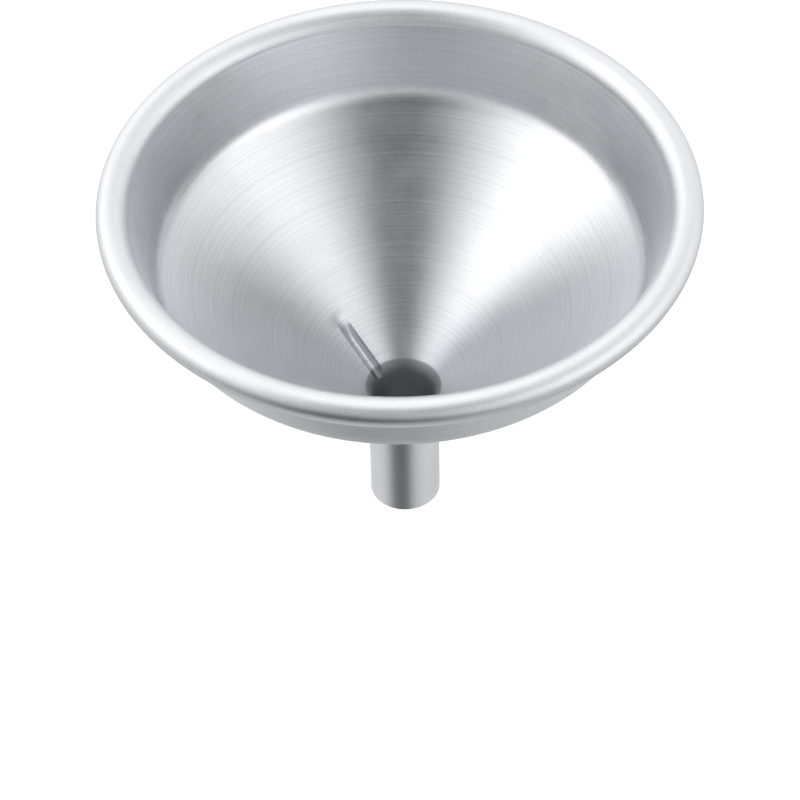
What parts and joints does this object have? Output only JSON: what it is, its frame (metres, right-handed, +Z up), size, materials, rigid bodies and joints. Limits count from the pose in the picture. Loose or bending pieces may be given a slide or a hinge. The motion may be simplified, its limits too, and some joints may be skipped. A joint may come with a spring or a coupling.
{
  "type": "canning funnel",
  "caption": "Satin aluminium bottle funnel: wide wired rim, short wall, steep cone, vent rib and a straight narrow spout.",
  "frame": {"origin": "centre of the spout's tip, on the funnel's axis", "axes": "+Z up along the axis towards the mouth; the vent rib is on the -X side"},
  "size_m": [0.125, 0.125, 0.09],
  "materials": {
    "spun_aluminium": "satin, with fine concentric spinning lines",
    "tube_aluminium": "satin, drawn and turned",
    "rim_wire": "dull drawn wire, hidden inside the rim"
  },
  "bodies": {
    "root": {"bowl": "spun_aluminium", "spout": "tube_aluminium", "rim_wire": "rim_wire"}
  },
  "joints": []
}
